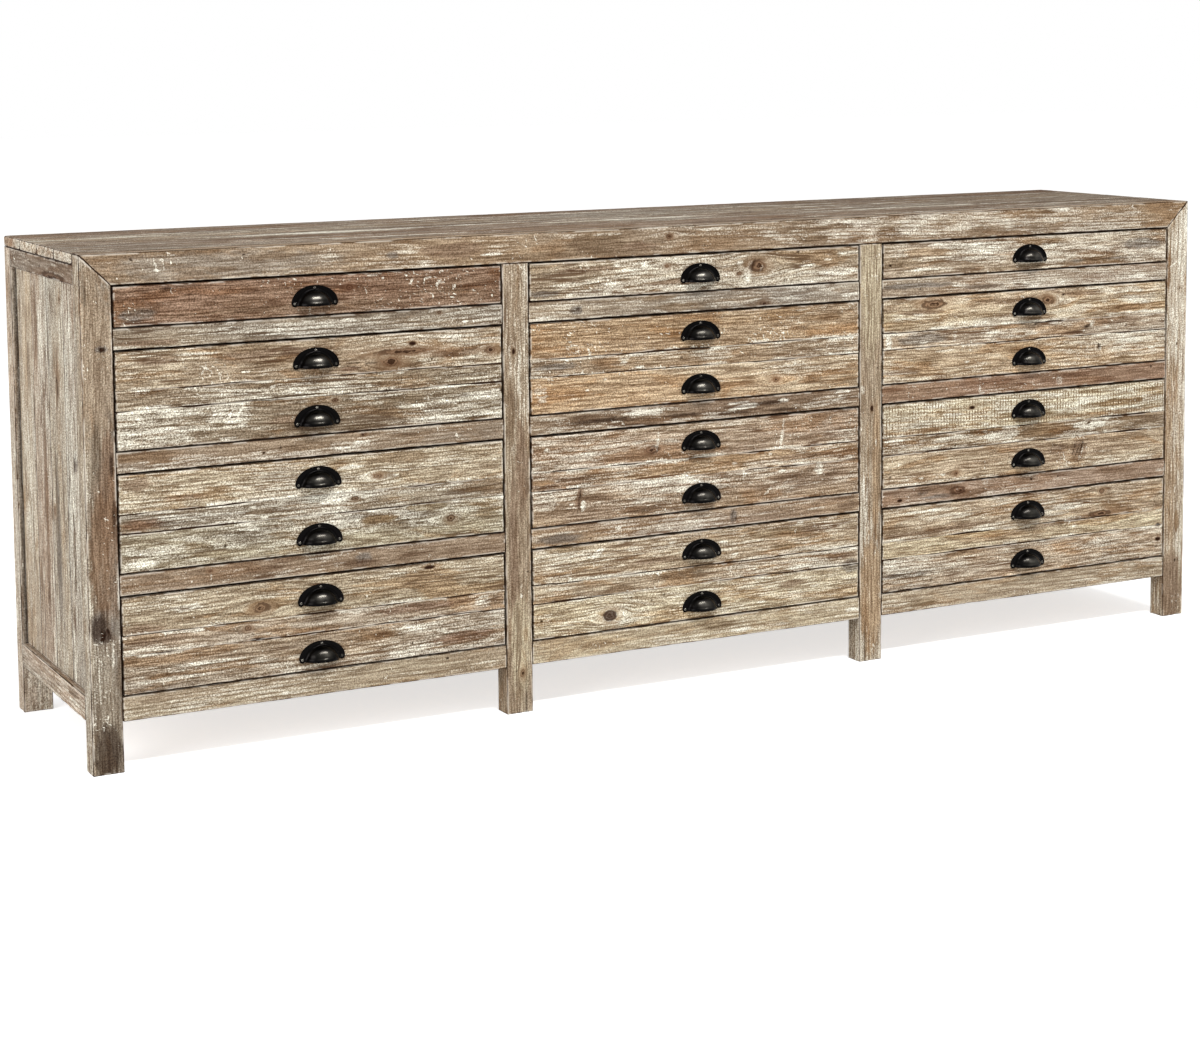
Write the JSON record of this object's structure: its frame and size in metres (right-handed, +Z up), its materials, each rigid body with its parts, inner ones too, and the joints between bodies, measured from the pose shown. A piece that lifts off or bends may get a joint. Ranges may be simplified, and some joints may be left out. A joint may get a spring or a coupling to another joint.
{
  "type": "apothecary chest of drawers",
  "caption": "Long low apothecary chest of weathered whitewashed pine on post feet, with inset drawers on wooden runners and dark cup pulls.",
  "frame": {"origin": "on the floor, under the middle of the whole outline, cup pulls included", "axes": "+X along the chest's length to the right as seen from the front, +Y from the drawer fronts to the back, +Z up; the drawers open along -Y"},
  "size_m": [2.44, 0.534, 0.91],
  "materials": {
    "frame_wood": "weathered pine with thin rubbed whitewash, matt",
    "top_wood": "weathered pine, greyer and darker, matt",
    "panel_wood": "weathered pine planks with rubbed whitewash, matt",
    "front_wood": "reclaimed pine with chipped whitewash, knots and worn edges, matt",
    "box_wood": "plain sanded pine, unfinished",
    "inner_wood": "plain sawn softwood and plywood, unfinished",
    "pull_metal": "oil-rubbed black, satin"
  },
  "bodies": {
    "carcass": {"front_post_left": "frame_wood", "front_post_right": "frame_wood", "centre_posts": "frame_wood", "top_rail": "frame_wood", "drawer_rails_upper": "frame_wood", "drawer_rails_middle": "frame_wood", "drawer_rails_lower": "frame_wood", "bottom_rails": "frame_wood", "top_boards": "top_wood", "rear_post_left": "frame_wood", "rear_post_right": "frame_wood", "rear_centre_posts": "frame_wood", "rear_top_rails": "frame_wood", "rear_bottom_rails": "frame_wood", "side_top_rails": "frame_wood", "side_bottom_rails": "frame_wood", "side_panel_left": "panel_wood", "side_panel_right": "panel_wood", "back_panels": "panel_wood", "partitions": "inner_wood", "bottom_sheets": "inner_wood", "drawer_runners": "inner_wood", "drawer_guides": "inner_wood", "drawer_stops": "inner_wood"},
    "drawer_left_top": {"drawer_left_top_front": "front_wood", "drawer_left_top_box": "box_wood", "drawer_left_top_pulls": "pull_metal"},
    "drawer_left_upper": {"drawer_left_upper_front": "front_wood", "drawer_left_upper_box": "box_wood", "drawer_left_upper_pulls": "pull_metal"},
    "drawer_left_middle": {"drawer_left_middle_front": "front_wood", "drawer_left_middle_box": "box_wood", "drawer_left_middle_pulls": "pull_metal"},
    "drawer_left_lower": {"drawer_left_lower_front": "front_wood", "drawer_left_lower_box": "box_wood", "drawer_left_lower_pulls": "pull_metal"},
    "drawer_centre_top": {"drawer_centre_top_front": "front_wood", "drawer_centre_top_box": "box_wood", "drawer_centre_top_pulls": "pull_metal"},
    "drawer_centre_upper": {"drawer_centre_upper_front": "front_wood", "drawer_centre_upper_box": "box_wood", "drawer_centre_upper_pulls": "pull_metal"},
    "drawer_centre_middle": {"drawer_centre_middle_front": "front_wood", "drawer_centre_middle_box": "box_wood", "drawer_centre_middle_pulls": "pull_metal"},
    "drawer_centre_lower": {"drawer_centre_lower_front": "front_wood", "drawer_centre_lower_box": "box_wood", "drawer_centre_lower_pulls": "pull_metal"},
    "drawer_right_top": {"drawer_right_top_front": "front_wood", "drawer_right_top_box": "box_wood", "drawer_right_top_pulls": "pull_metal"},
    "drawer_right_upper": {"drawer_right_upper_front": "front_wood", "drawer_right_upper_box": "box_wood", "drawer_right_upper_pulls": "pull_metal"},
    "drawer_right_middle": {"drawer_right_middle_front": "front_wood", "drawer_right_middle_box": "box_wood", "drawer_right_middle_pulls": "pull_metal"},
    "drawer_right_lower": {"drawer_right_lower_front": "front_wood", "drawer_right_lower_box": "box_wood", "drawer_right_lower_pulls": "pull_metal"}
  },
  "joints": [
    {"name": "drawer_left_top_slide", "type": "slide", "parent": "carcass", "child": "drawer_left_top", "axis": [0, -1, 0], "range_m": [0, 0.33]},
    {"name": "drawer_left_upper_slide", "type": "slide", "parent": "carcass", "child": "drawer_left_upper", "axis": [0, -1, 0], "range_m": [0, 0.33]},
    {"name": "drawer_left_middle_slide", "type": "slide", "parent": "carcass", "child": "drawer_left_middle", "axis": [0, -1, 0], "range_m": [0, 0.33]},
    {"name": "drawer_left_lower_slide", "type": "slide", "parent": "carcass", "child": "drawer_left_lower", "axis": [0, -1, 0], "range_m": [0, 0.33]},
    {"name": "drawer_centre_top_slide", "type": "slide", "parent": "carcass", "child": "drawer_centre_top", "axis": [0, -1, 0], "range_m": [0, 0.33]},
    {"name": "drawer_centre_upper_slide", "type": "slide", "parent": "carcass", "child": "drawer_centre_upper", "axis": [0, -1, 0], "range_m": [0, 0.33]},
    {"name": "drawer_centre_middle_slide", "type": "slide", "parent": "carcass", "child": "drawer_centre_middle", "axis": [0, -1, 0], "range_m": [0, 0.33]},
    {"name": "drawer_centre_lower_slide", "type": "slide", "parent": "carcass", "child": "drawer_centre_lower", "axis": [0, -1, 0], "range_m": [0, 0.33]},
    {"name": "drawer_right_top_slide", "type": "slide", "parent": "carcass", "child": "drawer_right_top", "axis": [0, -1, 0], "range_m": [0, 0.33]},
    {"name": "drawer_right_upper_slide", "type": "slide", "parent": "carcass", "child": "drawer_right_upper", "axis": [0, -1, 0], "range_m": [0, 0.33]},
    {"name": "drawer_right_middle_slide", "type": "slide", "parent": "carcass", "child": "drawer_right_middle", "axis": [0, -1, 0], "range_m": [0, 0.33]},
    {"name": "drawer_right_lower_slide", "type": "slide", "parent": "carcass", "child": "drawer_right_lower", "axis": [0, -1, 0], "range_m": [0, 0.33]}
  ]
}
